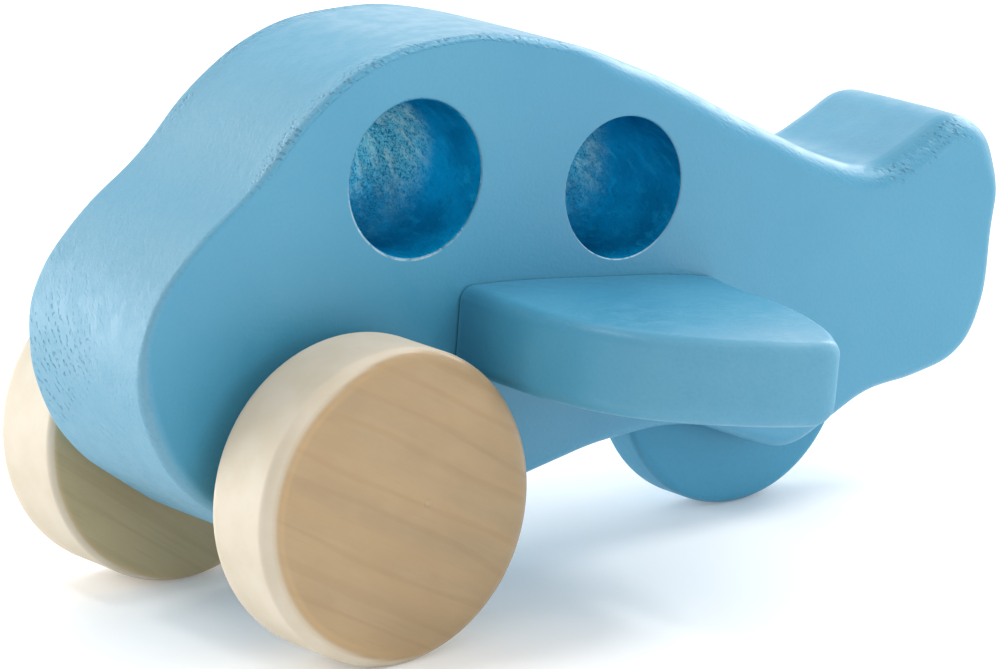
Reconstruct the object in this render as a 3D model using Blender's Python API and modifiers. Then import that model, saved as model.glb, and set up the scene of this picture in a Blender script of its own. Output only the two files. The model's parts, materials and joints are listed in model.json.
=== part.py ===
"""Wooden pull-about toy airplane: a slab fuselage on three wheels with two plank wings.

Frame: +X towards the nose, +Y to port, +Z up, origin on the floor under the middle of
the toy. Lengths are written in millimetres and turned to metres by the constant MM.
"""

import math

import bmesh
import bpy
from mathutils import Matrix, Vector

MM = 0.001
GAP = 0.3 * MM

# Fuselage slab
SLAB_HALF = 13.5 * MM
SLAB_EDGE = 1.8 * MM

# Wheels and axles
AXLE_X = 43.0 * MM
FRONT_WHEEL_R = 20.0 * MM
FRONT_WHEEL_WIDTH = 12.9 * MM
FRONT_WHEEL_OUTER_Y = 30.7 * MM
FRONT_WHEEL_EDGE = 1.5 * MM
FRONT_AXLE_R = 4.0 * MM
FRONT_AXLE_SEAT = 8.0 * MM
REAR_AXLE_BACK = 73.5 * MM
REAR_WHEEL_R = 18.5 * MM
REAR_WHEEL_WIDTH = 7.2 * MM
REAR_WHEEL_EDGE = 1.8 * MM
REAR_AXLE_R = 2.5 * MM
REAR_AXLE_HALF = 9.5 * MM
SLOT_R = 20.2 * MM
SLOT_WIDTH = 8.8 * MM

# Wings
WING_THICKNESS = 11.2 * MM
WING_EDGE = 1.8 * MM
WING_INCIDENCE = math.radians(8.6)
WING_BACK = 41.0 * MM
WING_MID_Z = 32.6 * MM
WING_DOWEL_R = 3.0 * MM
WING_DOWEL_DEPTH = 12.0 * MM
WING_DOWEL_BACK = {"wing_dowel_front": 32.0 * MM, "wing_dowel_rear": 48.0 * MM}

# Side profile of the slab: forward distance from the front axle and height, in mm,
# from the tip of the nose over the cabin to the fin and back along the belly.
PROFILE = [
    (25.4, 37.5), (23.6, 44.7), (17.5, 51.8), (7.2, 58.9), (-0.8, 66.0), (-10.5, 71.1),
    (-22.0, 72.5), (-35.5, 70.6), (-54.4, 62.9), (-72.6, 52.4), (-83.5, 46.6),
    (-91.0, 44.4), (-97.5, 46.4), (-104.3, 48.8), (-109.6, 46.2), (-111.4, 41.0),
    (-109.9, 32.0), (-107.3, 21.0), (-103.6, 16.6), (-96.5, 14.8), (-88.0, 14.1),
    (-81.0, 11.4), (-74.5, 9.3), (-68.0, 11.4), (-60.0, 15.0), (-48.0, 16.1),
    (-34.0, 14.5), (-20.0, 11.4), (-6.0, 9.8), (5.5, 11.9), (13.9, 17.6), (20.2, 23.2),
    (24.1, 30.3),
]

# Windows drilled through the cabin: forward distance from the front axle, height, radius.
WINDOWS = [(-16.2, 55.7, 9.9), (-48.3, 49.0, 9.2)]

# Plan of the port wing: forward distance from the front axle and distance to port.
# The first and last points lie inside the slab and are trimmed off at its side.
WING_PLAN = [
    (-21.9, 4.0), (-21.3, 14.0), (-20.5, 24.0), (-20.8, 34.0), (-23.4, 42.4),
    (-28.3, 48.9), (-35.3, 53.7), (-43.6, 56.1), (-47.8, 56.0), (-50.4, 52.9),
    (-54.8, 45.0), (-58.4, 34.4), (-59.9, 24.5), (-60.1, 4.0),
]

BLUE_PAINT = ((0.145, 0.391, 0.578, 1.0), 0.42)
BARE_MAPLE = ((0.60, 0.44, 0.28, 1.0), 0.55)
DOWEL_BIRCH = ((0.68, 0.53, 0.36, 1.0), 0.60)
FILLER = ((0.150, 0.380, 0.560, 1.0), 0.55)

for old in list(bpy.data.objects):
    bpy.data.objects.remove(old)

toy = bpy.data.collections.new("toy_airplane")
cutting = bpy.data.collections.new("cutters")
for collection in (toy, cutting):
    bpy.context.scene.collection.children.link(collection)


def paint(obj, finish):
    """Give an object a material of its own from a (colour, roughness) pair."""
    colour, roughness = finish
    material = bpy.data.materials.new(obj.name)
    material.use_nodes = True
    shader = material.node_tree.nodes["Principled BSDF"]
    shader.inputs["Base Color"].default_value = colour
    shader.inputs["Roughness"].default_value = roughness
    shader.inputs["Metallic"].default_value = 0.0
    obj.data.materials.append(material)


def add_mesh(name, mesh, collection):
    obj = bpy.data.objects.new(name, mesh)
    collection.objects.link(obj)
    if collection is cutting:
        obj.hide_render = True
        obj.display_type = "WIRE"
    return obj


def cut(obj, cutter):
    boolean = obj.modifiers.new("cut_" + cutter.name, "BOOLEAN")
    boolean.operation = "DIFFERENCE"
    boolean.object = cutter


def slab(name, points, half_thickness, edge, matrix):
    """Rounded-edge plank cut from a smooth closed outline, as one closed mesh."""
    curve = bpy.data.curves.new(name + "_outline", "CURVE")
    curve.dimensions = "2D"
    curve.fill_mode = "BOTH"
    curve.resolution_u = 4
    curve.bevel_resolution = 2
    curve.extrude = half_thickness - edge
    curve.bevel_depth = edge
    curve.offset = -edge
    spline = curve.splines.new("BEZIER")
    spline.bezier_points.add(len(points) - 1)
    for point, (x, y) in zip(spline.bezier_points, points):
        point.co = (x, y, 0.0)
        point.handle_left_type = "AUTO"
        point.handle_right_type = "AUTO"
    spline.use_cyclic_u = True
    outline = bpy.data.objects.new(name + "_outline", curve)
    toy.objects.link(outline)
    outline.matrix_world = matrix
    bpy.context.view_layer.update()
    evaluated = outline.evaluated_get(bpy.context.evaluated_depsgraph_get())
    mesh = bpy.data.meshes.new_from_object(evaluated)
    form = bmesh.new()
    form.from_mesh(mesh)
    bmesh.ops.remove_doubles(form, verts=form.verts, dist=0.00001)
    bmesh.ops.recalc_face_normals(form, faces=form.faces)
    form.to_mesh(mesh)
    form.free()
    obj = add_mesh(name, mesh, toy)
    obj.matrix_world = matrix
    bpy.data.objects.remove(outline)
    return obj


def rod(name, radius, start_y, end_y, x, z, collection, segments=32, chamfer=0.0):
    """Cylinder along Y between two stations, its origin on the axis."""
    mesh = bpy.data.meshes.new(name)
    form = bmesh.new()
    bmesh.ops.create_cone(
        form,
        cap_ends=True,
        segments=segments,
        radius1=radius,
        radius2=radius,
        depth=abs(end_y - start_y),
        matrix=Matrix.Rotation(math.pi / 2, 4, "X"),
    )
    form.to_mesh(mesh)
    form.free()
    mesh.shade_smooth()
    mesh.set_sharp_from_angle(angle=math.radians(40))
    obj = add_mesh(name, mesh, collection)
    obj.location = (x, (start_y + end_y) / 2, z)
    if chamfer:
        bevel = obj.modifiers.new("end_chamfer", "BEVEL")
        bevel.width = chamfer
        bevel.segments = 1
        bevel.limit_method = "ANGLE"
        bevel.angle_limit = math.radians(60)
    return obj


def corner(centre_r, centre_w, radius, start, steps=4):
    """Quarter circle in the (radius, width) plane of a turned profile."""
    arc = []
    for step in range(steps + 1):
        angle = math.radians(start) - math.pi / 2 * step / steps
        arc.append((centre_r + radius * math.cos(angle), centre_w + radius * math.sin(angle)))
    return arc


def disc(name, radius, width, edge, bore, bore_top, segments):
    """Turned wheel about its own Z axis, with the hub bore open at the lower face.

    A bore_top at the upper face makes it a through bore, and a lower one a blind bore.
    """
    half = width / 2
    top = half if bore_top is None else bore_top
    section = [(0.0, half)] if bore_top is not None else [(bore, half)]
    section += corner(radius - edge, half - edge, edge, 90)
    section += corner(radius - edge, -half + edge, edge, 0)
    section += [(bore, -half), (bore, top)]
    if bore_top is not None:
        section += [(0.0, top)]
    mesh = bpy.data.meshes.new(name)
    form = bmesh.new()
    verts = [form.verts.new((r, 0.0, w)) for r, w in section]
    pairs = list(zip(verts, verts[1:]))
    if bore_top is None:
        pairs[-1] = (verts[-2], verts[0])
        form.verts.remove(verts[-1])
    for first, second in pairs:
        form.edges.new((first, second))
    form.to_mesh(mesh)
    form.free()
    obj = add_mesh(name, mesh, toy)
    screw = obj.modifiers.new("turn", "SCREW")
    screw.axis = "Z"
    screw.steps = segments
    screw.render_steps = segments
    screw.use_merge_vertices = True
    screw.merge_threshold = 0.00001
    screw.use_normal_calculate = True
    screw.use_smooth_shade = True
    return obj


def fuselage():
    outline = [((AXLE_X + x * MM), z * MM) for x, z in PROFILE]
    upright = Matrix.Rotation(math.pi / 2, 4, "X")
    body = slab("fuselage", outline, SLAB_HALF, SLAB_EDGE, upright)
    reach = SLAB_HALF + 5.0 * MM
    for number, (x, z, radius) in enumerate(WINDOWS):
        place = (AXLE_X + x * MM, z * MM)
        hole = rod(f"window_{number}", radius * MM, -reach, reach, *place, cutting, 64)
        cut(body, hole)
    bore = FRONT_AXLE_R + GAP
    cut(body, rod("front_bore", bore, -reach, reach, AXLE_X, FRONT_WHEEL_R, cutting))
    rear = (AXLE_X - REAR_AXLE_BACK, REAR_WHEEL_R)
    slot_half = SLOT_WIDTH / 2
    cut(body, rod("wheel_slot", SLOT_R, -slot_half, slot_half, *rear, cutting, 96))
    blind_end = REAR_AXLE_HALF + GAP
    cut(body, rod("rear_bore", REAR_AXLE_R + GAP, -reach, blind_end, *rear, cutting))
    for name, back in WING_DOWEL_BACK.items():
        x, z = dowel_place(back)
        cut(body, rod(name + "_bore", WING_DOWEL_R + GAP, -reach, reach, x, z, cutting))
    paint(body, BLUE_PAINT)


def dowel_place(back):
    """X and Z of a wing dowel: on the middle plane of the tilted wings."""
    ahead = WING_BACK - back
    return AXLE_X - back, WING_MID_Z + ahead * math.tan(WING_INCIDENCE)


def wing(name, side):
    plan = [((x * MM + WING_BACK), side * y * MM) for x, y in WING_PLAN]
    place = Matrix.Translation((AXLE_X - WING_BACK, 0.0, WING_MID_Z))
    tilt = Matrix.Rotation(-WING_INCIDENCE, 4, "Y")
    plank = slab(name, plan, WING_THICKNESS / 2, WING_EDGE, place @ tilt)
    size = 80.0 * MM
    mesh = bpy.data.meshes.new(name + "_trim")
    form = bmesh.new()
    bmesh.ops.create_cube(form, size=size)
    form.to_mesh(mesh)
    form.free()
    trim = add_mesh(name + "_trim", mesh, cutting)
    joint_y = SLAB_HALF + GAP
    trim.location = (AXLE_X - WING_BACK, side * (joint_y - size / 2), WING_MID_Z)
    cut(plank, trim)
    for dowel, back in WING_DOWEL_BACK.items():
        x, z = dowel_place(back)
        end = side * (SLAB_HALF + WING_DOWEL_DEPTH + GAP)
        cut(plank, rod(f"{name}_{dowel}", WING_DOWEL_R + GAP, 0.0, end, x, z, cutting))
    paint(plank, BLUE_PAINT)


def wing_dowels():
    reach = SLAB_HALF + WING_DOWEL_DEPTH
    for name, back in WING_DOWEL_BACK.items():
        x, z = dowel_place(back)
        peg = rod(name, WING_DOWEL_R, -reach, reach, x, z, toy, chamfer=0.6 * MM)
        paint(peg, DOWEL_BIRCH)


def front_wheels():
    """Two plain discs on one dowel; the dowel ends are hidden in blind bores."""
    middle = FRONT_WHEEL_OUTER_Y - FRONT_WHEEL_WIDTH / 2
    bore_top = -FRONT_WHEEL_WIDTH / 2 + FRONT_AXLE_SEAT
    spindle = bpy.data.objects.new("front_axle_line", None)
    toy.objects.link(spindle)
    spindle.location = (AXLE_X, 0.0, FRONT_WHEEL_R)
    for name, side in (("front_wheel_port", 1), ("front_wheel_starboard", -1)):
        wheel = disc(
            name,
            FRONT_WHEEL_R,
            FRONT_WHEEL_WIDTH,
            FRONT_WHEEL_EDGE,
            FRONT_AXLE_R + GAP,
            bore_top,
            72,
        )
        wheel.parent = spindle
        wheel.location = (0.0, side * middle, 0.0)
        wheel.rotation_euler = (-side * math.pi / 2, 0.0, 0.0)
        paint(wheel, BARE_MAPLE)
    inner_face = FRONT_WHEEL_OUTER_Y - FRONT_WHEEL_WIDTH
    reach = inner_face + FRONT_AXLE_SEAT - GAP
    axle = rod("front_axle", FRONT_AXLE_R, -reach, reach, 0.0, 0.0, toy, 40, 0.5 * MM)
    axle.parent = spindle
    paint(axle, DOWEL_BIRCH)


def rear_wheel():
    """Blue disc in the slot, on a pin whose entry hole is stopped with a flush plug."""
    place = Vector((AXLE_X - REAR_AXLE_BACK, 0.0, REAR_WHEEL_R))
    bore = REAR_AXLE_R + GAP
    wheel = disc(
        "rear_wheel", REAR_WHEEL_R, REAR_WHEEL_WIDTH, REAR_WHEEL_EDGE, bore, None, 72
    )
    wheel.location = place
    wheel.rotation_euler = (-math.pi / 2, 0.0, 0.0)
    paint(wheel, BLUE_PAINT)
    half = REAR_AXLE_HALF
    pin = rod("rear_axle", REAR_AXLE_R, -half, half, place.x, place.z, toy, chamfer=0.4 * MM)
    paint(pin, DOWEL_BIRCH)
    start = -SLAB_HALF
    plug = rod("rear_axle_plug", REAR_AXLE_R, start, -half - GAP, place.x, place.z, toy)
    paint(plug, FILLER)


fuselage()
wing("wing_port", 1)
wing("wing_starboard", -1)
wing_dowels()
front_wheels()
rear_wheel()
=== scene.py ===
"""Looks of the wooden toy airplane: painted slab body and wings, bare maple wheels.

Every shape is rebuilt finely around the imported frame. Lengths are in metres.
"""

import json
import math

import bmesh
import bpy
import numpy as np
from mathutils import Matrix, Vector, noise


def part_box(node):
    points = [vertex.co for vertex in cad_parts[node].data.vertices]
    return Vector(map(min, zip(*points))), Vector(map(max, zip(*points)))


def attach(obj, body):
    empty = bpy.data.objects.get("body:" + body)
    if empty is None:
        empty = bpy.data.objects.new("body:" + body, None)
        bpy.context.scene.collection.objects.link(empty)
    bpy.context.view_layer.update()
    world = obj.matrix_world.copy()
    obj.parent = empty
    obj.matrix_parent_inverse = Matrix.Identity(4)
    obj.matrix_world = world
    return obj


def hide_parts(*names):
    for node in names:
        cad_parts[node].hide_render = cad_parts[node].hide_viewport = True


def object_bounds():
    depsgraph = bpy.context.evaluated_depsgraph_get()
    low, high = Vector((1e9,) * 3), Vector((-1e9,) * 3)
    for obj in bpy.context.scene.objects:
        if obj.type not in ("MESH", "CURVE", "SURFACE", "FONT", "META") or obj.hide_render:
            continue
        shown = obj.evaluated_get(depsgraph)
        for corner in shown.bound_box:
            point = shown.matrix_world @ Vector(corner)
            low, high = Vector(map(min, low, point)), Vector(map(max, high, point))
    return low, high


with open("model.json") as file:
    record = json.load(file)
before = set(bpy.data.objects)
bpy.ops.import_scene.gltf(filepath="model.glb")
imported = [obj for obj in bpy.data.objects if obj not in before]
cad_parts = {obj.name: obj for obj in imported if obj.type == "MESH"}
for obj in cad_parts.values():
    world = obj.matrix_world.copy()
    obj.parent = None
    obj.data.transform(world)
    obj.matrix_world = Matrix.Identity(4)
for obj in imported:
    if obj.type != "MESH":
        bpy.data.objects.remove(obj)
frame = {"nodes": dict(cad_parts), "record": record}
cad_low, cad_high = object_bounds()

MM = 0.001
SEED = 7

# Camera: where it stands, seen from the toy, and how it is held
CAMERA_AZIMUTH = math.radians(144.43)
CAMERA_ELEVATION = math.radians(15.11)
CAMERA_ROLL = math.radians(-2.19)
CAMERA_DISTANCE = 0.803
CAMERA_AIM = Vector((5.3 * MM, 0.0, 29.0 * MM))
CAMERA_LENS = 224.5

# The frame's own edge rounding: its outlines are read this far below the flat faces
CAD_EDGE = 1.8 * MM

# Board edges, the wings' slight crown, and the steps of the finer outlines
SLAB_EDGE = 1.8 * MM
SLAB_WANDER = 0.10 * MM
WING_EDGE = 2.0 * MM
WING_WANDER = 0.06 * MM
WING_CROWN = 0.45 * MM
CROWN_SPAN = (-20 * MM, 38 * MM)
SLAB_STEP = 0.8 * MM
WING_STEP = 0.7 * MM
WING_ROOT_SPARE = 8.0 * MM

# Bores and the slot. Each window has a rim fillet, and an area of thin paint, where painted
# light from the key, falling in through the far opening, also shows: the depth where it begins,
# the lowest height it reaches as a share of the radius, and how much of it shows
RIM_FILLETS = (0.55 * MM, 0.25 * MM)
BORE_TAPER = 0.9 * MM
THIN_PAINT_AND_LIGHT_AREAS = ((9.0 * MM, -0.60, 0.90), (13.0 * MM, -0.60, 0.60))
AXLE_BORE_R = 4.3 * MM
PLUG_ROOM = 0.12 * MM
SLOT_SIDE_ROOM = 0.8 * MM
SLOT_RIM_ROOM = 1.7 * MM

# Wheel edges: how far each reaches in from the rim, and in from the face
WHEEL_OUTER_EDGE = (3.0 * MM, 1.8 * MM)
PORT_INNER_EDGE = (2.2 * MM, 2.2 * MM)
STARBOARD_INNER_EDGE = (1.2 * MM, 1.2 * MM)
REAR_WHEEL_EDGE = (1.3 * MM, 1.3 * MM)
FRONT_WHEEL_HUB_R = 0.25 * MM
REAR_WHEEL_BORE_R = 2.8 * MM
WHEEL_SEGMENTS = 192
HUB_MARK_X = -4.0 * MM
GRAIN_TILT = math.radians(31.0)

# Colours, linear: paint, window walls, maple, birch, floor
PAINT = (0.056, 0.280, 0.432)
PAINT_DEEP = (0.030, 0.218, 0.375)
PAINT_PALE = (0.084, 0.314, 0.460)
END_GRAIN_PALE = (0.125, 0.298, 0.405)
# Painted highlight: the glint along the lower rims of the windows
RIM_GLINT_PAINT = (0.520, 0.680, 0.740)
PORE_DARK = (0.020, 0.150, 0.280)
# Window walls: the lightest blue and the lightest and darkest thin-paint tones are painted
# highlight on the relief's ridges and painted shade in its hollows
BORE_BLUE = (0.001, 0.270, 0.560)
BORE_DEEP = (0.001, 0.140, 0.330)
BORE_RIDGE_HIGHLIGHT = (0.012, 0.380, 0.660)
# Thin paint on the wall, lightened by painted light from the key that falls in through the far
# opening
THIN_PAINT_LIT = (0.130, 0.480, 0.620)
THIN_PAINT_HOLLOW_SHADE = (0.003, 0.160, 0.300)
THIN_PAINT_RIDGE_HIGHLIGHT = (0.400, 0.660, 0.680)
FACE_TAN = (0.365, 0.250, 0.128)
FACE_GREY = (0.330, 0.235, 0.128)
FACE_PALE = (0.400, 0.285, 0.155)
FLECK_BROWN = (0.300, 0.180, 0.080)
# Painted fill light for a wheel face that lies in shade
FACE_PAINTED_FILL = (0.520, 0.460, 0.270)
MAPLE_LINE = (0.270, 0.165, 0.075)
# Tread tones: the wood's own, with a painted sheen of the key light in them
TREAD_WOOD_AND_SHEEN = (0.565, 0.505, 0.405)
TREAD_CREAM_AND_SHEEN = (0.530, 0.465, 0.355)
# Painted shade: the warmer, darker band where the lit tread turns into the face
MAPLE_RIM_SHADE = (0.500, 0.340, 0.170)
BIRCH = (0.620, 0.480, 0.310)
BIRCH_DARK = (0.450, 0.320, 0.180)
FLOOR_WHITE = (0.950, 0.950, 0.950)
FLOOR_GREY = (0.940, 0.940, 0.940)
FLOOR_GLOW = 0.10

# The sky: its strength, the side where it is dimmer, and the share left there
SKY_STRENGTH = 1.09
SKY_DIM_SIDE = (0.90, 0.25, 0.35)
SKY_DIM_SHARE = 0.55

# Lights: name, azimuth and elevation in degrees, distance, width and height in metres, watts
LIGHTS = (
    ("key", 33.0, 12.0, 0.9, 0.50, 0.45, 4.7),
    ("front_low", 30.0, 3.0, 0.5, 0.45, 0.10, 0.9),
    ("back", 322.0, 15.0, 0.9, 0.8, 0.25, 0.45),
    ("overhead", 68.0, 63.0, 0.8, 0.16, 0.06, 0.8),
    ("port_high", 246.0, 48.0, 1.0, 0.42, 0.28, 2.9),
    ("camera_fill", 172.0, 12.0, 1.2, 0.5, 0.25, 1.2),
    ("starboard_high", 350.0, 50.0, 0.9, 0.5, 0.4, 0.2),
    ("tail_rim", 285.0, 20.0, 0.9, 0.60, 0.50, 3.6),
)


# ---------------------------------------------------------------- node helpers

class Nodes:
    """Short ways to add and link nodes in one material."""

    def __init__(self, name):
        self.material = bpy.data.materials.new(name)
        self.material.use_nodes = True
        self.tree = self.material.node_tree
        self.shader = self.tree.nodes["Principled BSDF"]

    def add(self, kind, **settings):
        node = self.tree.nodes.new(kind)
        for key, value in settings.items():
            setattr(node, key, value)
        return node

    def plug(self, source, target):
        self.tree.links.new(source, target)

    def feed(self, socket, value):
        """Link an output socket, or set a plain number or colour."""
        if isinstance(value, bpy.types.NodeSocket):
            self.plug(value, socket)
        elif isinstance(value, tuple) and len(value) == 3 and socket.type == "RGBA":
            socket.default_value = (*value, 1.0)
        else:
            socket.default_value = value

    def object_place(self, scale=(1.0, 1.0, 1.0), rotation=(0.0, 0.0, 0.0), shift=(0.0, 0.0, 0.0)):
        """Object coordinates, turned and shifted first and then stretched."""
        turn = self.add("ShaderNodeMapping")
        self.plug(self.add("ShaderNodeTexCoord").outputs["Object"], turn.inputs["Vector"])
        turn.inputs["Rotation"].default_value = rotation
        turn.inputs["Location"].default_value = shift
        stretch = self.add("ShaderNodeMapping")
        self.plug(turn.outputs["Vector"], stretch.inputs["Vector"])
        stretch.inputs["Scale"].default_value = scale
        return stretch.outputs["Vector"]

    def noise(self, place, scale, detail=3.0, rough=0.5, distortion=0.0):
        node = self.add("ShaderNodeTexNoise")
        self.plug(place, node.inputs["Vector"])
        node.inputs["Scale"].default_value = scale
        node.inputs["Detail"].default_value = detail
        node.inputs["Roughness"].default_value = rough
        node.inputs["Distortion"].default_value = distortion
        return node.outputs["Fac"]

    def cells(self, place, scale):
        """Distance to the nearest of many scattered points."""
        node = self.add("ShaderNodeTexVoronoi")
        self.plug(place, node.inputs["Vector"])
        node.inputs["Scale"].default_value = scale
        return node.outputs["Distance"]

    def attribute(self, name):
        return self.add("ShaderNodeAttribute", attribute_name=name).outputs["Fac"]

    def ramp(self, value, low, high, to_low=0.0, to_high=1.0):
        """Smooth step of a value from low to high, clamped outside."""
        node = self.add("ShaderNodeMapRange", interpolation_type="SMOOTHSTEP", clamp=True)
        self.feed(node.inputs["Value"], value)
        node.inputs["From Min"].default_value = low
        node.inputs["From Max"].default_value = high
        node.inputs["To Min"].default_value = to_low
        node.inputs["To Max"].default_value = to_high
        return node.outputs["Result"]

    def math(self, operation, a, b=0.0):
        node = self.add("ShaderNodeMath", operation=operation)
        self.feed(node.inputs[0], a)
        self.feed(node.inputs[1], b)
        return node.outputs["Value"]

    def mix(self, share, a, b):
        """From colour a at share 0 to colour b at share 1."""
        node = self.add("ShaderNodeMix", data_type="RGBA")
        self.feed(node.inputs["Factor"], share)
        self.feed(node.inputs["A"], a)
        self.feed(node.inputs["B"], b)
        return node.outputs["Result"]

    def bump(self, height, strength, distance, before=None):
        """Bumped normal, laid over the one before it."""
        node = self.add("ShaderNodeBump")
        self.feed(node.inputs["Height"], height)
        node.inputs["Strength"].default_value = strength
        node.inputs["Distance"].default_value = distance
        if before is not None:
            self.plug(before, node.inputs["Normal"])
        return node.outputs["Normal"]


def facing(nodes, axis):
    """How squarely the surface faces along one object axis, from 0 to 1."""
    normal = nodes.add("ShaderNodeTexCoord").outputs["Normal"]
    split = nodes.add("ShaderNodeSeparateXYZ")
    nodes.plug(normal, split.inputs["Vector"])
    return nodes.math("ABSOLUTE", split.outputs[axis])


# ------------------------------------------------------------------- materials

def blue_paint(name, grain="X", open_grain=1.0, ior=1.58):
    """Satin light-blue paint: grain and pores of the board show through it.

    `grain` is the axis along which the board's fibres run, so pores open on faces across it,
    and `open_grain` says how much of them shows. `ior` sets how strongly the paint shines.
    """
    n = Nodes(name)
    place = n.object_place()
    squeeze = {"X": (0.08, 1.0, 1.0), "Y": (1.0, 0.08, 1.0)}[grain]
    along = n.object_place(scale=squeeze)
    cloud = n.noise(place, 38.0, 2.0)
    colour = n.mix(n.ramp(cloud, 0.25, 0.75), PAINT_DEEP, PAINT_PALE)
    colour = n.mix(0.72, colour, PAINT)
    streak = n.noise(along, 900.0, 4.0, 0.6)
    colour = n.mix(n.ramp(streak, 0.55, 0.95, 0.0, 0.14), colour, PAINT_DEEP)
    paler = n.ramp(facing(n, grain), 0.25, 0.70, 0.0, 0.85 * open_grain)
    colour = n.mix(paler, colour, END_GRAIN_PALE)

    end_grain = n.ramp(facing(n, grain), 0.35, 0.75)
    patch = n.ramp(n.noise(place, 85.0, 2.0), 0.40, 0.55)
    rows = n.object_place(scale=(0.5, 0.55, 1.0), rotation=(0.78, 0.0, 0.0))
    pore = n.ramp(n.cells(rows, 2300.0), 0.22, 0.46, 1.0, 0.0)
    rings = n.add("ShaderNodeTexWave", wave_type="RINGS", rings_direction="X")
    n.plug(n.object_place(shift=(0.0, -0.025, -0.065)), rings.inputs["Vector"])
    rings.inputs["Scale"].default_value = 250.0
    rings.inputs["Distortion"].default_value = 1.5
    ring = n.ramp(rings.outputs["Fac"], 0.35, 0.7)
    pore = n.math("MULTIPLY", pore, n.math("MULTIPLY", patch, ring))
    pore = n.math("MULTIPLY", pore, n.ramp(n.attribute("pore_zone"), 0.0, 1.0, 0.10, 1.0))
    pore = n.math("MULTIPLY", pore, n.math("MULTIPLY", end_grain, open_grain))
    dash_place = n.object_place(scale=(0.42, 0.8, 1.0), rotation=(0.0, 0.6, 0.0))
    dash = n.ramp(n.cells(dash_place, 1900.0), 0.20, 0.44, 1.0, 0.0)
    dash = n.math("MULTIPLY", dash, n.ramp(n.noise(place, 210.0, 1.0), 0.34, 0.48))
    torn = n.attribute("torn_edge")
    dash = n.math("MULTIPLY", dash, torn)
    mark = n.math("MAXIMUM", pore, dash)
    speck = n.noise(place, 2300.0, 2.0, 0.6)
    colour = n.mix(n.ramp(speck, 0.35, 0.75, 0.0, 0.16), colour, PAINT_DEEP)
    colour = n.mix(n.math("MULTIPLY", mark, 0.55), colour, PORE_DARK)
    # Painted highlight: a lighter glint along the lower rims of the windows
    rim_glint = n.ramp(n.noise(place, 900.0, 2.0), 0.30, 0.55)
    rim_glint = n.math("MULTIPLY", n.attribute("painted_rim_glint"), rim_glint)
    colour = n.mix(rim_glint, colour, RIM_GLINT_PAINT)
    n.plug(colour, n.shader.inputs["Base Color"])

    rough = n.ramp(n.noise(place, 420.0, 2.0), 0.3, 0.7, 0.32, 0.42)
    rough = n.math("ADD", rough, n.math("MULTIPLY", end_grain, 0.26))
    n.plug(rough, n.shader.inputs["Roughness"])
    n.shader.inputs["IOR"].default_value = ior

    peel = n.noise(place, 1700.0, 3.0, 0.6)
    normal = n.bump(peel, 0.45, 0.00008)
    burr = n.math("MULTIPLY", n.noise(dash_place, 1300.0, 3.0, 0.65), torn)
    normal = n.bump(burr, 0.8, 0.00035, normal)
    normal = n.bump(streak, 0.10, 0.00010, normal)
    dimple = n.noise(rows, 1300.0, 3.0, 0.6)
    dimple_share = n.math("ADD", n.math("MULTIPLY", end_grain, 0.85), 0.15)
    normal = n.bump(n.math("MULTIPLY", dimple, dimple_share), 0.45, 0.00020, normal)
    normal = n.bump(n.math("SUBTRACT", 1.0, mark), 0.7, 0.00022, normal)
    n.plug(normal, n.shader.inputs["Normal"])
    return n.material


def bore_wall(name):
    """Raw drilled wall: deep blue where the paint lies thick, thin and fibrous further in, and
    lighter there as painted light from the key falling in through the far opening.

    A vertex attribute says where the thin paint and this painted light show.
    """
    n = Nodes(name)
    place = n.object_place()
    fibre_place = n.object_place(scale=(1.0, 0.45, 0.8), rotation=(0.5, 0.35, 0.0))
    fibre = n.noise(fibre_place, 2000.0, 4.0, 0.7)
    ridge_place = n.object_place(scale=(1.0, 0.3, 0.7), rotation=(0.6, 0.3, 0.0))
    ridge = n.noise(ridge_place, 1000.0, 3.0, 0.6)
    cloud = n.noise(place, 160.0, 2.0)
    deep = n.mix(n.ramp(cloud, 0.30, 0.70, 0.3, 1.0), BORE_DEEP, BORE_BLUE)
    # Painted highlight on the ridges and painted shade in the fibre hollows of the relief that the
    # bumps raise
    deep = n.mix(n.ramp(ridge, 0.50, 0.72, 0.0, 0.5), deep, BORE_RIDGE_HIGHLIGHT)
    deep = n.mix(n.ramp(fibre, 0.30, 0.46, 0.55, 0.0), deep, BORE_DEEP)
    grit = n.noise(fibre_place, 4600.0, 3.0, 0.7)
    # Thin wall: painted shade in the grit and fibre hollows, painted highlight on the ridges
    thin_and_lit_wall = n.mix(n.ramp(grit, 0.38, 0.54), THIN_PAINT_HOLLOW_SHADE, THIN_PAINT_LIT)
    thin_and_lit_wall = n.mix(n.ramp(ridge, 0.45, 0.68, 0.0, 0.7), thin_and_lit_wall, THIN_PAINT_RIDGE_HIGHLIGHT)
    thin_and_lit_wall = n.mix(n.ramp(fibre, 0.34, 0.46, 0.6, 0.0), thin_and_lit_wall, THIN_PAINT_HOLLOW_SHADE)
    # The thin paint shows here, lightened as painted light from the key
    colour = n.mix(n.attribute("thin_paint_and_light"), deep, thin_and_lit_wall)
    # Painted shade in the grit hollows
    colour = n.mix(n.ramp(grit, 0.30, 0.46, 0.5, 0.0), colour, BORE_DEEP)
    n.plug(colour, n.shader.inputs["Base Color"])
    n.plug(n.ramp(fibre, 0.3, 0.7, 0.50, 0.75), n.shader.inputs["Roughness"])
    n.shader.inputs["Specular IOR Level"].default_value = 0.0
    normal = n.bump(ridge, 0.8, 0.0006)
    normal = n.bump(fibre, 0.9, 0.0006, normal)
    normal = n.bump(grit, 0.9, 0.0003, normal)
    n.plug(normal, n.shader.inputs["Normal"])
    return n.material


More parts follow.
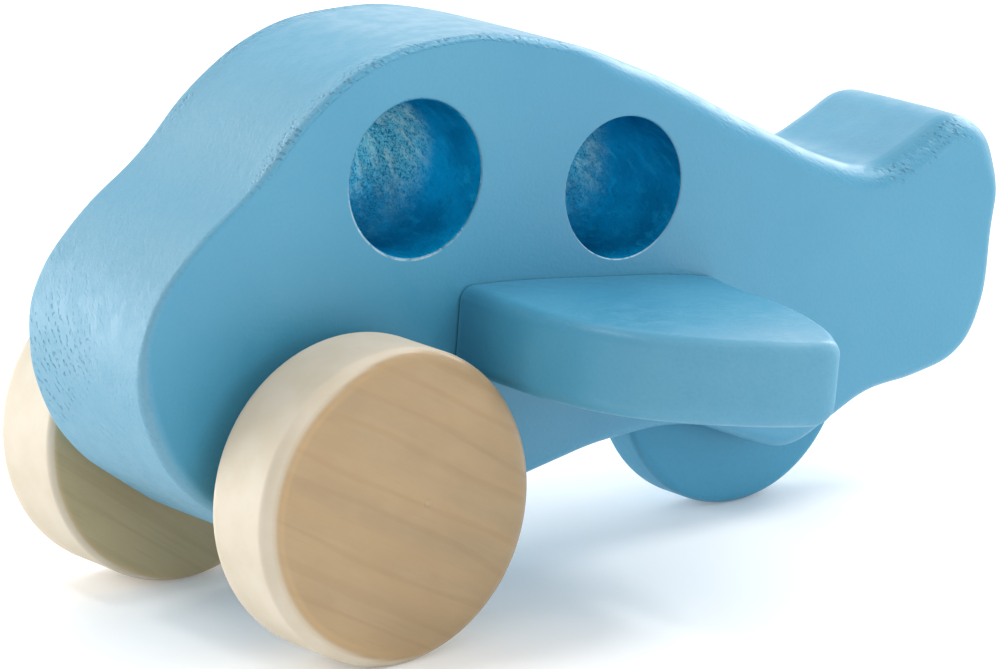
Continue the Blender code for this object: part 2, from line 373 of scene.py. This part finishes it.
def maple(name, grain_spin, painted_fill_share):
    """Bare sanded maple: long grain across the faces, finer on the tread and lighter there, partly
    its own tone and partly a painted sheen of the key light.

    `grain_spin` turns the grain about the wheel's axis, and the last argument is the share of a
    lighter, greener tone in the faces: painted fill light on a face that lies in shade.
    """
    n = Nodes(name)
    turn = (0.0, grain_spin, 0.0)
    place = n.object_place()
    fibre_place = n.object_place(scale=(0.04, 0.4, 1.0), rotation=turn)
    band_place = n.object_place(scale=(0.10, 0.5, 1.0), rotation=turn)
    band = n.noise(band_place, 260.0, 2.0, 0.5, 0.3)
    mottle_place = n.object_place(scale=(0.5, 1.0, 1.0), rotation=turn)
    mottle = n.noise(mottle_place, 210.0, 4.0, 0.6)
    fibre = n.noise(fibre_place, 2400.0, 3.0, 0.6)
    rings = n.add("ShaderNodeTexWave", wave_type="BANDS", bands_direction="Z")
    n.plug(n.object_place(scale=(0.12, 0.5, 1.0), rotation=turn), rings.inputs["Vector"])
    rings.inputs["Scale"].default_value = 75.0
    rings.inputs["Distortion"].default_value = 5.0
    rings.inputs["Detail"].default_value = 2.0
    rings.inputs["Detail Scale"].default_value = 2.5
    ring_line = n.ramp(rings.outputs["Fac"], 0.80, 0.99)
    face = n.mix(n.ramp(band, 0.32, 0.68), FACE_GREY, FACE_TAN)
    face = n.mix(n.ramp(mottle, 0.35, 0.65, 0.0, 0.45), face, FACE_PALE)
    # Painted fill light: a lighter, greener tone lifts a face that lies in shade
    face = n.mix(painted_fill_share, face, FACE_PAINTED_FILL)
    face = n.mix(n.math("MULTIPLY", ring_line, 0.21 * (1 - painted_fill_share / 2)), face, MAPLE_LINE)
    face = n.mix(n.ramp(fibre, 0.52, 0.85, 0.0, 0.22), face, MAPLE_LINE)
    fleck = n.ramp(n.cells(fibre_place, 1500.0), 0.02, 0.09, 1.0, 0.0)
    face = n.mix(n.math("MULTIPLY", fleck, 0.22), face, FLECK_BROWN)
    nick = n.ramp(n.attribute("hub_mark"), 0.2, 0.9)
    face = n.mix(n.math("MULTIPLY", nick, 0.6), face, FACE_PALE)

    # The tread: the wood's own lighter tone, partly a painted sheen of the key light
    tread_cloud = n.noise(place, 170.0, 3.0)
    tread = n.mix(n.ramp(tread_cloud, 0.35, 0.7), TREAD_CREAM_AND_SHEEN, TREAD_WOOD_AND_SHEEN)
    tread = n.mix(n.ramp(fibre, 0.6, 0.9, 0.0, 0.15), tread, FACE_TAN)
    colour = n.mix(n.attribute("face"), tread, face)
    # Painted shade: a warmer, darker band where the lit tread turns into the face
    colour = n.mix(n.math("MULTIPLY", n.attribute("rim"), 0.35), colour, MAPLE_RIM_SHADE)
    n.plug(colour, n.shader.inputs["Base Color"])

    rough = n.ramp(n.noise(place, 300.0, 2.0), 0.3, 0.7, 0.30, 0.42)
    rough = n.math("MAXIMUM", rough, n.ramp(n.attribute("face"), 0.0, 1.0, 0.68, 0.0))
    n.plug(rough, n.shader.inputs["Roughness"])
    n.shader.inputs["Subsurface Weight"].default_value = 0.08
    n.shader.inputs["Subsurface Radius"].default_value = (1.0, 0.6, 0.3)
    n.shader.inputs["Subsurface Scale"].default_value = 0.001
    normal = n.bump(fibre, 0.20, 0.00008)
    normal = n.bump(n.noise(place, 1500.0, 3.0), 0.20, 0.00007, normal)
    normal = n.bump(mottle, 0.12, 0.00020, normal)
    normal = n.bump(nick, 0.5, 0.00025, normal)
    n.plug(normal, n.shader.inputs["Normal"])
    return n.material


def birch(name):
    """Plain dowel with its grain along the rod."""
    n = Nodes(name)
    grain = n.object_place(scale=(1.0, 0.05, 1.0))
    fine = n.noise(grain, 2600.0, 4.0, 0.6)
    colour = n.mix(n.ramp(fine, 0.35, 0.75), BIRCH, BIRCH_DARK)
    n.plug(colour, n.shader.inputs["Base Color"])
    n.shader.inputs["Roughness"].default_value = 0.6
    n.plug(n.bump(fine, 0.3, 0.0001), n.shader.inputs["Normal"])
    return n.material


# --------------------------------------------------------------- mesh building

def centre(node):
    low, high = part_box(node)
    return (low + high) / 2


def ring_points(node, to_local, level):
    """Points of a CAD node that lie at one height of a local frame, in its plane."""
    points = set()
    for vertex in frame["nodes"][node].data.vertices:
        local = to_local @ vertex.co
        if abs(local.z - level) < 0.02 * MM:
            points.add((round(local.x, 6), round(local.y, 6)))
    return [Vector(p) for p in sorted(points)]


def chain(points, start):
    """Order scattered outline points by always stepping to the nearest unused one."""
    left = list(points)
    left.remove(start)
    ordered = [start]
    while left:
        nearest = min(left, key=lambda p: (p - ordered[-1]).length)
        left.remove(nearest)
        ordered.append(nearest)
    return ordered


def smooth_loop(points, step):
    """Closed curve through the points, resampled to an even step, as an N x 2 array.

    Between two points it is a Catmull-Rom curve.
    """
    p = np.array([tuple(q) for q in points])
    before, after, beyond = np.roll(p, 1, 0), np.roll(p, -1, 0), np.roll(p, -2, 0)
    pieces = []
    for t in np.arange(0.0, 1.0, 0.125):
        pieces.append(
            0.5 * (
                2 * p
                + (after - before) * t
                + (2 * before - 5 * p + 4 * after - beyond) * t ** 2
                + (3 * p - before - 3 * after + beyond) * t ** 3
            )
        )
    dense = np.stack(pieces, 1).reshape(-1, 2)
    closed = np.vstack([dense, dense[:1]])
    length = np.concatenate([[0.0], np.cumsum(np.linalg.norm(np.diff(closed, axis=0), axis=1))])
    count = int(round(length[-1] / step))
    wanted = np.linspace(0.0, length[-1], count, endpoint=False)
    return np.stack([np.interp(wanted, length, closed[:, k]) for k in (0, 1)], 1)


def soften(loop, passes):
    """Average each point a little with its neighbours."""
    for _ in range(passes):
        loop = 0.25 * np.roll(loop, 1, 0) + 0.5 * loop + 0.25 * np.roll(loop, -1, 0)
    return loop


def outward(loop):
    """Unit normals of a closed loop, pointing out of it."""
    along = np.roll(loop, -1, 0) - np.roll(loop, 1, 0)
    normal = np.stack([along[:, 1], -along[:, 0]], 1)
    normal /= np.linalg.norm(normal, axis=1)[:, None]
    area = np.sum(loop[:, 0] * np.roll(loop[:, 1], -1) - np.roll(loop[:, 0], -1) * loop[:, 1])
    return normal if area > 0 else -normal


def plank(name, loop, half, edge, matrix, wander, bands=24, crown=None, edge_share=None):
    """Board with the loop as its outline, hand-sanded round edges and slightly uneven sides.

    The outline lies in the matrix's own X and Y, and `half` is half the thickness. The edge
    radius wanders by a tenth along the outline, and the sawn side by `wander`. A `crown` is
    the drop of the broad faces towards the edge, and a spine point for each point of the loop.
    `edge_share` scales the edge radius by place and by end (1 top, 0 side, -1 bottom).
    """
    arc_steps, crown_steps = 8, 8
    normal = outward(loop)
    form = bmesh.new()
    rings = []
    stations = []
    for step in range(arc_steps + 1):
        angle = math.pi / 2 * step / arc_steps
        stations.append((1 - math.sin(angle), math.cos(angle), 1))
    for band in range(1, bands):
        stations.append((0.0, 1 - 2 * band / bands, 0))
    for step in range(arc_steps + 1):
        angle = math.pi / 2 * (1 - step / arc_steps)
        stations.append((1 - math.sin(angle), -math.cos(angle), -1))
    for inset, height, end in stations:
        ring = []
        for (x, y), (nx, ny) in zip(loop, normal):
            here = edge * (1 + 0.1 * noise.noise(Vector((x, y, end)) * 90.0))
            if edge_share is not None:
                here *= edge_share(x, y, end)
            if end:
                z = end * (half - here) + here * height
            else:
                z = (half - 1.5 * edge) * height
            push = wander * noise.noise(Vector((x, y, z)) * 110.0) - here * inset
            ring.append(form.verts.new(matrix @ Vector((x + nx * push, y + ny * push, z))))
        rings.append(ring)
    if crown is not None:
        drop, spine = crown
        back = matrix.inverted()
        for end in (1, -1):
            outer = rings[0] if end > 0 else rings[-1]
            inner = []
            for k in range(1, crown_steps + 1):
                share = 0.6 * k / crown_steps
                lift = drop * (1 - (1 - k / crown_steps) ** 2)
                ring = []
                for vertex, (cx, cy) in zip(outer, spine):
                    p = back @ vertex.co
                    flat = Vector((cx + (p.x - cx) * (1 - share), cy + (p.y - cy) * (1 - share)))
                    ring.append(form.verts.new(matrix @ Vector((*flat, p.z + end * lift))))
                inner.append(ring)
            rings = inner[::-1] + rings if end > 0 else rings + inner
    count = len(loop)
    for first, second in zip(rings, rings[1:]):
        for i in range(count):
            j = (i + 1) % count
            form.faces.new((first[i], first[j], second[j], second[i]))
    form.faces.new(rings[0])
    form.faces.new(rings[-1])
    bmesh.ops.recalc_face_normals(form, faces=form.faces)
    mesh = bpy.data.meshes.new(name)
    form.to_mesh(mesh)
    form.free()
    obj = bpy.data.objects.new(name, mesh)
    bpy.context.scene.collection.objects.link(obj)
    return obj


def turned(name, section, segments, closed=True):
    """Solid of revolution about Y from (radius, y) points, from +Y to -Y.

    An open one has no end faces.
    """
    form = bmesh.new()
    rings = []
    for radius, y in section:
        ring = []
        for k in range(segments):
            angle = 2 * math.pi * k / segments
            ring.append(form.verts.new((radius * math.cos(angle), y, radius * math.sin(angle))))
        rings.append(ring)
    for first, second in zip(rings, rings[1:]):
        for i in range(segments):
            j = (i + 1) % segments
            form.faces.new((first[i], first[j], second[j], second[i]))
    if closed:
        form.faces.new(rings[0])
        form.faces.new(rings[-1])
    bmesh.ops.recalc_face_normals(form, faces=form.faces)
    mesh = bpy.data.meshes.new(name)
    form.to_mesh(mesh)
    form.free()
    obj = bpy.data.objects.new(name, mesh)
    bpy.context.scene.collection.objects.link(obj)
    return obj


def subtract(body, cutters):
    """Cut the cutters out of the body for good and remove them."""
    for cutter in cutters:
        boolean = body.modifiers.new("cut", "BOOLEAN")
        boolean.operation = "DIFFERENCE"
        boolean.object = cutter
    bpy.context.view_layer.update()
    evaluated = body.evaluated_get(bpy.context.evaluated_depsgraph_get())
    mesh = bpy.data.meshes.new_from_object(evaluated)
    body.modifiers.clear()
    old = body.data
    body.data = mesh
    bpy.data.meshes.remove(old)
    for cutter in cutters:
        bpy.data.objects.remove(cutter)


def finish_surface(obj, material, sharp=40.0):
    """Give the material, and shade smooth up to an angle between faces in degrees."""
    obj.data.materials.clear()
    obj.data.materials.append(material)
    obj.data.shade_smooth()
    obj.data.set_sharp_from_angle(angle=math.radians(sharp))
    weighted = obj.modifiers.new("flat_faces_stay_flat", "WEIGHTED_NORMAL")
    weighted.keep_sharp = True
    weighted.weight = 80


def store(obj, name, values):
    """Keep one number a vertex, for a material to read."""
    attribute = obj.data.attributes.new(name, "FLOAT", "POINT")
    attribute.data.foreach_set("value", np.asarray(values, np.float32))


def places(obj):
    """Vertex positions as an N x 3 array."""
    co = np.empty(len(obj.data.vertices) * 3, np.float32)
    obj.data.vertices.foreach_get("co", co)
    return co.reshape(-1, 3).astype(float)


def smoothstep(low, high, value):
    t = np.clip((value - low) / (high - low), 0.0, 1.0)
    return t * t * (3 - 2 * t)


# -------------------------------------------------------------------- fuselage

def window_facts():
    """Centre and radius of each window, read from the frame."""
    corners = np.array([v.co for v in frame["nodes"]["fuselage"].data.vertices])
    side = corners[np.abs(corners[:, 1] - slab_half) < 0.01 * MM]
    found = []
    for opening in frame["record"]["physics"]["openings"]:
        low, high = opening["box_m"]
        x, z = (low[0] + high[0]) / 2, (low[2] + high[2]) / 2
        reach = np.hypot(side[:, 0] - x, side[:, 2] - z)
        found.append((x, z, reach.min()))
    return found


def window_cutter(name, x, z, radius, half, fillet):
    """Drill with a torn, fibrous wall and a small fillet where it meets each side.

    It closes by BORE_TAPER towards starboard.
    """
    depth_steps, segments = 72, 168
    section = []
    for step in range(7):
        angle = math.radians(84) * (1 - step / 6)
        flare = fillet * (1 - math.cos(angle))
        section.append((radius + flare, half - fillet * (1 - math.sin(angle))))
    inner = half - fillet
    lower = [(r, -y) for r, y in reversed(section)]
    section = [(section[0][0] + 0.6 * MM, half + 2 * MM)] + section
    section += [(radius, inner * (1 - 2 * k / depth_steps)) for k in range(1, depth_steps)]
    section += lower + [(lower[-1][0] + 0.6 * MM, -half - 2 * MM)]
    cutter = turned(name, section, segments)
    for vertex in cutter.data.vertices:
        p = vertex.co
        radial = Vector((p.x, 0.0, p.z))
        if radial.length < 1e-6 or abs(p.y) > inner:
            continue
        fade = min(1.0, (inner - abs(p.y)) / (2.5 * MM))
        spot = Vector((p.x, p.y * 0.35, p.z))
        torn = noise.noise(spot * 1500.0 + Vector((x, SEED, z))) * 0.14
        swell = noise.noise(spot * 420.0 + Vector((z, SEED, x))) * 0.12
        closing = -BORE_TAPER * smoothstep(0.0, 10 * MM, -p.y)
        vertex.co += radial.normalized() * ((torn + swell) * MM * fade + closing)
    cutter.location = (x, 0.0, z)
    return cutter


def body_edge(x, z, end):
    """Crisp, barely sanded edge over nose and cabin; well rounded along the back."""
    top = smoothstep(36 * MM, 44 * MM, z)
    crisp = smoothstep(2 * MM, 16 * MM, x) * top
    back = smoothstep(2 * MM, -10 * MM, x) * top
    return 1 - 0.45 * crisp + 0.90 * back


def fuselage_cutters():
    """All that is cut out of the board: windows, tail wheel slot, axle bore and plug hole."""
    cutters = []
    for (x, z, radius), fillet in zip(windows, RIM_FILLETS):
        cutters.append(window_cutter("window", x, z, radius, slab_half, fillet))
    wheel_low, wheel_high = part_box("rear_wheel")
    slot_radius = (wheel_high.z - wheel_low.z) / 2 + SLOT_RIM_ROOM
    slot_half = wheel_high.y + SLOT_SIDE_ROOM
    section = [(slot_radius, slot_half), (slot_radius, 0.0), (slot_radius, -slot_half)]
    slot = turned("slot", section, 160)
    slot.location = centre("rear_wheel")
    reach = slab_half + 3 * MM
    bore = turned("bore", [(AXLE_BORE_R, reach), (AXLE_BORE_R, -reach)], 64)
    bore.location = centre("front_axle")
    plug_low, plug_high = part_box("rear_axle_plug")
    plug_radius = (plug_high.z - plug_low.z) / 2 + PLUG_ROOM
    hole = turned("hole", [(plug_radius, 0.0), (plug_radius, -reach)], 64)
    hole.location = centre("rear_axle_plug")
    hole.location.y = plug_high.y
    return cutters + [slot, bore, hole]


def store_window_paint(body, co):
    """Store where the window walls show thin paint and painted key light, and where the rims get
    a painted glint.

    Returns how surely each vertex lies on a wall, from 0 to 1.
    """
    wall = np.zeros(len(co))
    thin = np.zeros(len(co))
    rim_glint = np.zeros(len(co))
    for (x, z, radius), (start, lowest, shown) in zip(windows, THIN_PAINT_AND_LIGHT_AREAS):
        reach = np.hypot(co[:, 0] - x, co[:, 2] - z)
        depth = slab_half - co[:, 1]
        other = slab_half + co[:, 1]
        on_wall = (reach < radius + 0.7 * MM) & (np.abs(co[:, 1]) < slab_half - 0.1 * MM)
        wall = np.where(on_wall, smoothstep(0.1 * MM, 1 * MM, np.minimum(depth, other)), wall)
        bend = np.array([noise.noise(Vector(p) * 160.0) for p in co[on_wall]])
        begins = start + 2.2 * MM * bend
        inner = smoothstep(0.0, 7.0 * MM, depth[on_wall] - begins)
        height = (co[on_wall, 2] - z) / radius + 0.25 * bend
        # Painted light: the key falls in through the far opening onto the higher part of the wall,
        # less at the very top
        upper = smoothstep(lowest - 0.35, lowest + 0.55, height)
        upper *= 1 - 0.6 * smoothstep(0.40, 0.95, height)
        thin[on_wall] = shown * inner * (0.15 + 0.85 * upper)
        # Painted highlight on the rim fillet of the lower side, where the high port light glints
        near_rim = np.abs(reach - radius - 0.1 * MM) < 0.5 * MM
        on_rim = near_rim & (depth < 0.45 * MM) & (depth > 0.02 * MM)
        lower = (0.5 * (co[:, 0] - x) - 0.87 * (co[:, 2] - z)) / radius
        rim_glint = np.maximum(rim_glint, 0.7 * on_rim * smoothstep(0.2, 0.95, lower))
    store(body, "thin_paint_and_light", thin)
    store(body, "painted_rim_glint", rim_glint)
    return wall


def store_edge_wear(body, co, wall):
    """Store where the rounded edge is torn and where the nose shows open pores."""
    x, y, z = co.T
    across = np.abs(y)
    round_edge = smoothstep(slab_half - 2.4 * MM, slab_half - 1.1 * MM, across)
    round_edge *= 1 - smoothstep(slab_half - 0.1 * MM, slab_half - 0.01 * MM, across)
    over_cabin = smoothstep(-2 * MM, 12 * MM, x) * smoothstep(54 * MM, 44 * MM, x)
    over_cabin = over_cabin * (z > 30 * MM)
    under_fin = smoothstep(-46 * MM, -50 * MM, x) * smoothstep(-66 * MM, -60 * MM, x)
    under_fin = under_fin * (z > 40 * MM)
    torn_share = 0.12 + 0.88 * np.maximum(over_cabin, under_fin)
    store(body, "torn_edge", round_edge * (wall < 0.01) * torn_share)
    nose = smoothstep(44 * MM, 54 * MM, x)
    low = smoothstep(46 * MM, 36 * MM, z)
    starboard = smoothstep(5 * MM, -6 * MM, y)
    store(body, "pore_zone", nose * (0.25 + 0.75 * low) * (0.3 + 0.7 * starboard))


def fuselage():
    """Board with the frame's side profile, cut, torn at its edges and painted.

    The window rims get a painted glint, and the window walls painted light.
    """
    upright = Matrix.Rotation(math.pi / 2, 4, "X")
    outline = ring_points("fuselage", upright.inverted(), slab_half - CAD_EDGE)
    nose_tip = max(outline, key=lambda p: p.x)
    loop = soften(smooth_loop(chain(outline, nose_tip), SLAB_STEP), 3)
    body = plank(
        "fuselage_body", loop, slab_half, SLAB_EDGE, upright, SLAB_WANDER, edge_share=body_edge
    )
    subtract(body, fuselage_cutters())
    co = places(body)
    wall = store_window_paint(body, co)
    store_edge_wear(body, co, wall)
    finish_surface(body, blue_paint("blue_painted_body"))
    body.data.materials.append(bore_wall("blue_bore_wall"))
    inside = np.zeros(len(body.data.polygons), np.int32)
    for polygon in body.data.polygons:
        inside[polygon.index] = wall[list(polygon.vertices)].min() > 0.02
    body.data.polygons.foreach_set("material_index", inside)
    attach(body, "airframe")
    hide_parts("fuselage")


# ----------------------------------------------------------------------- wings

def tip_edge(x, y, end):
    """The lower edge is sanded rounder towards the tip."""
    return 1 + 0.5 * smoothstep(44 * MM, 54 * MM, abs(y)) * (end < 0)


def wing(node, side):
    """Plank wing: its plan comes from the frame, its tilt from the two dowels.

    The plank is made a little too long at the root and cut off there.
    """
    front, rear = centre("wing_dowel_front"), centre("wing_dowel_rear")
    forward = (front - rear).normalized()
    level = Vector((0.0, 1.0, 0.0))
    up = forward.cross(level)
    axes = Matrix((forward, level, up)).transposed().to_4x4()
    matrix = Matrix.Translation((front + rear) / 2) @ axes
    to_local = matrix.inverted()
    half = max((to_local @ v.co).z for v in frame["nodes"][node].data.vertices)
    outline = ring_points(node, to_local, half - CAD_EDGE)
    low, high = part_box(node)
    root = low.y if side > 0 else high.y
    at_root = [p for p in outline if abs(p.y - root) < 0.05 * MM]
    leading = max(at_root, key=lambda p: p.x)
    path = chain(outline, leading)
    past_root = root - WING_ROOT_SPARE * side
    path = [Vector((path[0].x, past_root))] + path + [Vector((path[-1].x, past_root))]
    loop = soften(smooth_loop(path, WING_STEP), 2)
    middle = (loop[:, 0].max() + loop[:, 0].min()) / 2
    along = np.clip(side * loop[:, 1], *CROWN_SPAN) * side
    spine = np.stack([np.full(len(loop), middle), along], 1)
    plate = plank(
        node + "_plank", loop, half - WING_CROWN * 0.2, WING_EDGE, matrix, WING_WANDER,
        bands=10, crown=(WING_CROWN, spine), edge_share=tip_edge,
    )
    form = bmesh.new()
    form.from_mesh(plate.data)
    cut = bmesh.ops.bisect_plane(
        form,
        geom=form.verts[:] + form.edges[:] + form.faces[:],
        plane_co=(0.0, root, 0.0),
        plane_no=(0.0, -side, 0.0),
        clear_outer=True,
    )
    edges = [e for e in cut["geom_cut"] if isinstance(e, bmesh.types.BMEdge)]
    bmesh.ops.edgeloop_fill(form, edges=edges)
    bmesh.ops.recalc_face_normals(form, faces=form.faces)
    form.to_mesh(plate.data)
    form.free()
    finish_surface(plate, blue_paint("blue_painted_" + node, "Y", 0.5, 1.50))
    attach(plate, "airframe")
    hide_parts(node)


# ---------------------------------------------------------------------- wheels

def quarter(centre_r, centre_y, reach_r, reach_y, start, steps):
    """Rounded corner of a turned section, from the start angle down a quarter turn."""
    points = []
    for step in range(steps + 1):
        angle = math.radians(start - 90 * step / steps)
        points.append((centre_r + reach_r * math.cos(angle), centre_y + reach_y * math.sin(angle)))
    return points


def wheel_section(radius, half, hub, top_edge, bottom_edge):
    """From the hub over the rounded rim to the hub on the other face."""
    face_steps, tread_steps = 40, 10
    (top_r, top_y), (low_r, low_y) = top_edge, bottom_edge
    section = [(hub + (radius - top_r - hub) * k / face_steps, half) for k in range(face_steps)]
    section += quarter(radius - top_r, half - top_y, top_r, top_y, 90, 9)
    high, low = half - top_y, -half + low_y
    section += [(radius, high + (low - high) * k / tread_steps) for k in range(1, tread_steps)]
    section += quarter(radius - low_r, low, low_r, low_y, 0, 9)
    far_face = [(hub + (radius - low_r - hub) * k / face_steps, -half) for k in range(face_steps)]
    return section + list(reversed(far_face))


def uneven(obj, amount, scale, shift):
    """Move the surface in and out by a slow noise, as hand sanding leaves it."""
    for vertex in obj.data.vertices:
        p = vertex.co
        radial = Vector((p.x, 0.0, p.z))
        if radial.length > 1e-6:
            spot = p * scale + Vector((shift, SEED, shift))
            vertex.co += radial.normalized() * noise.noise(spot) * amount


def front_wheel(node, side, inner_edge, grain_spin, painted_fill_share):
    """Turned disc. It stores "face" and "rim": which tone shows is set by the angle round the
    edge, where 90 degrees is the tread and 0 the flat face. Towards the key light the lit tread
    tone reaches further over the rounding, as painted light, and "rim" is a band of painted
    shade where it turns into the face.
    """
    low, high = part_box(node)
    radius, half = (high.z - low.z) / 2, (high.y - low.y) / 2
    edges = (WHEEL_OUTER_EDGE, inner_edge)
    section = wheel_section(radius, half, FRONT_WHEEL_HUB_R, *edges[::side])
    wheel = turned(node + "_disc", section, WHEEL_SEGMENTS)
    uneven(wheel, 0.06 * MM, 70.0, side)
    wheel.location = (low + high) / 2
    co = places(wheel)
    reach = np.hypot(co[:, 0], co[:, 2])
    outer = co[:, 1] * side > 0
    edge_r = np.where(outer, WHEEL_OUTER_EDGE[0], inner_edge[0])
    edge_y = np.where(outer, WHEEL_OUTER_EDGE[1], inner_edge[1])
    towards_rim = np.clip((reach - radius + edge_r) / edge_r, 0.0, 1.0)
    towards_face = np.clip((np.abs(co[:, 1]) - half + edge_y) / edge_y, 0.0, 1.0)
    edge_angle = np.degrees(np.arctan2(towards_rim, towards_face))
    # Painted light: on the side towards the key the lit tread tone reaches further over the edge
    key_lit_side = smoothstep(-0.70, 0.60, co[:, 0] / np.maximum(reach, MM))
    border = 78.0 - 50.0 * key_lit_side
    store(wheel, "face", 1 - smoothstep(border - 7.0, border + 7.0, edge_angle))
    # Painted shade band just inside the border, on the side towards the key
    from_band = np.abs(edge_angle - border + 14.0)
    store(wheel, "rim", (1 - smoothstep(3.0, 16.0, from_band)) * key_lit_side)
    from_mark = np.hypot(co[:, 0] - HUB_MARK_X, co[:, 2])
    store(wheel, "hub_mark", 1 - smoothstep(0.2 * MM, 0.8 * MM, from_mark))
    finish_surface(wheel, maple("maple_" + node, grain_spin, painted_fill_share), 60.0)
    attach(wheel, "front_wheelset")
    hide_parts(node)


def rear_wheel():
    """Painted disc with a bore for its pin."""
    low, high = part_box("rear_wheel")
    radius, half = (high.z - low.z) / 2, high.y
    section = wheel_section(radius, half, REAR_WHEEL_BORE_R, REAR_WHEEL_EDGE, REAR_WHEEL_EDGE)
    wheel = turned("rear_wheel_disc", section, WHEEL_SEGMENTS, closed=False)
    form = bmesh.new()
    form.from_mesh(wheel.data)
    rims = [e for e in form.edges if e.is_boundary]
    bmesh.ops.bridge_loops(form, edges=rims)
    bmesh.ops.recalc_face_normals(form, faces=form.faces)
    form.to_mesh(wheel.data)
    form.free()
    uneven(wheel, 0.05 * MM, 60.0, 3.0)
    wheel.location = (low + high) / 2
    finish_surface(wheel, blue_paint("blue_painted_rear_wheel", "X", 0.3, 1.36), 60.0)
    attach(wheel, "tail_wheel")
    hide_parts("rear_wheel")


def round_rod(node, body, material, end_round):
    """Fine version of a dowel, pin or plug, with softly rounded ends."""
    low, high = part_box(node)
    radius, half = (high.z - low.z) / 2, (high.y - low.y) / 2
    section = quarter(radius - end_round, half - end_round, end_round, end_round, 90, 4)
    section += quarter(radius - end_round, -half + end_round, end_round, end_round, 0, 4)
    rod = turned(node + "_round", section, 72)
    rod.location = (low + high) / 2
    finish_surface(rod, material)
    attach(rod, body)
    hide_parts(node)


# ---------------------------------------------------------- camera, floor, light

def aim(obj, target, roll=0.0):
    """Turn a camera or a light towards a point."""
    toward = (Vector(target) - obj.location).normalized()
    turn = toward.to_track_quat("-Z", "Y").to_matrix().to_4x4()
    obj.rotation_euler = (turn @ Matrix.Rotation(roll, 4, "Z")).to_euler()


def around(azimuth, elevation, distance, target):
    """Point at a distance from the target; azimuth 0 is towards -Y and 90 towards +X."""
    flat = math.cos(elevation)
    out = Vector((math.sin(azimuth) * flat, -math.cos(azimuth) * flat, math.sin(elevation)))
    return Vector(target) + out * distance


def camera():
    data = bpy.data.cameras.new("camera")
    data.lens = CAMERA_LENS
    data.sensor_width = 36.0
    data.clip_start, data.clip_end = 0.01, 20.0
    obj = bpy.data.objects.new("camera", data)
    bpy.context.scene.collection.objects.link(obj)
    obj.location = around(CAMERA_AZIMUTH, CAMERA_ELEVATION, CAMERA_DISTANCE, CAMERA_AIM)
    aim(obj, CAMERA_AIM, CAMERA_ROLL)
    bpy.context.scene.camera = obj


def soft_box(name, azimuth, elevation, distance, width, height, power):
    """Rectangular light that faces the toy."""
    data = bpy.data.lights.new(name, "AREA")
    data.shape = "RECTANGLE"
    data.size, data.size_y = width, height
    data.energy = power
    obj = bpy.data.objects.new(name, data)
    bpy.context.scene.collection.objects.link(obj)
    target = Vector((0.0, 0.0, 35 * MM))
    obj.location = around(math.radians(azimuth), math.radians(elevation), distance, target)
    aim(obj, target)


def white_floor():
    """Matt floor that gives off a little light of its own."""
    n = Nodes("floor_white")
    tone = n.ramp(n.noise(n.object_place(), 3.0, 2.0), 0.3, 0.7)
    n.plug(n.mix(tone, FLOOR_WHITE, FLOOR_GREY), n.shader.inputs["Base Color"])
    n.shader.inputs["Roughness"].default_value = 0.9
    n.shader.inputs["Specular IOR Level"].default_value = 0.1
    n.shader.inputs["Emission Color"].default_value = (1.0, 1.0, 1.0, 1.0)
    n.shader.inputs["Emission Strength"].default_value = FLOOR_GLOW
    mesh = bpy.data.meshes.new("floor")
    form = bmesh.new()
    bmesh.ops.create_grid(form, x_segments=4, y_segments=4, size=4.0)
    form.to_mesh(mesh)
    form.free()
    floor = bpy.data.objects.new("floor", mesh)
    bpy.context.scene.collection.objects.link(floor)
    floor.location.z = cad_low.z - 0.05 * MM
    mesh.materials.append(n.material)


def sky_and_lights():
    """White surroundings, dimmer on one side, and the soft boxes."""
    world = bpy.data.worlds.new("studio")
    world.use_nodes = True
    bpy.context.scene.world = world
    sky = world.node_tree.nodes["Background"]
    sky.inputs["Color"].default_value = (1.0, 1.0, 1.0, 1.0)
    around_us = world.node_tree.nodes.new("ShaderNodeTexCoord")
    dim = world.node_tree.nodes.new("ShaderNodeVectorMath")
    dim.operation = "DOT_PRODUCT"
    dim.inputs[1].default_value = SKY_DIM_SIDE
    level = world.node_tree.nodes.new("ShaderNodeMapRange")
    level.inputs["From Min"].default_value = 0.2
    level.inputs["From Max"].default_value = 1.0
    level.inputs["To Min"].default_value = SKY_STRENGTH
    level.inputs["To Max"].default_value = SKY_STRENGTH * SKY_DIM_SHARE
    world.node_tree.links.new(around_us.outputs["Generated"], dim.inputs[0])
    world.node_tree.links.new(dim.outputs["Value"], level.inputs["Value"])
    world.node_tree.links.new(level.outputs["Result"], sky.inputs["Strength"])
    for light in LIGHTS:
        soft_box(*light)
    bpy.context.scene.view_settings.view_transform = "Standard"


slab_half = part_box("fuselage")[1].y
windows = window_facts()

camera()
white_floor()
sky_and_lights()
fuselage()
wing("wing_port", 1)
wing("wing_starboard", -1)
front_wheel("front_wheel_port", 1, PORT_INNER_EDGE, GRAIN_TILT, 0.0)
# Its inner face lies in shade and is lifted by painted fill light
front_wheel("front_wheel_starboard", -1, STARBOARD_INNER_EDGE, GRAIN_TILT * 1.2, 0.7)
rear_wheel()
round_rod("front_axle", "front_wheelset", birch("birch_axle"), 0.5 * MM)
round_rod("rear_axle", "airframe", birch("birch_pin"), 0.4 * MM)
round_rod("wing_dowel_front", "airframe", birch("birch_peg_front"), 0.5 * MM)
round_rod("wing_dowel_rear", "airframe", birch("birch_peg_rear"), 0.5 * MM)
plug_paint = blue_paint("blue_painted_plug", "Y", 0.3)
round_rod("rear_axle_plug", "airframe", plug_paint, 0.25 * MM)
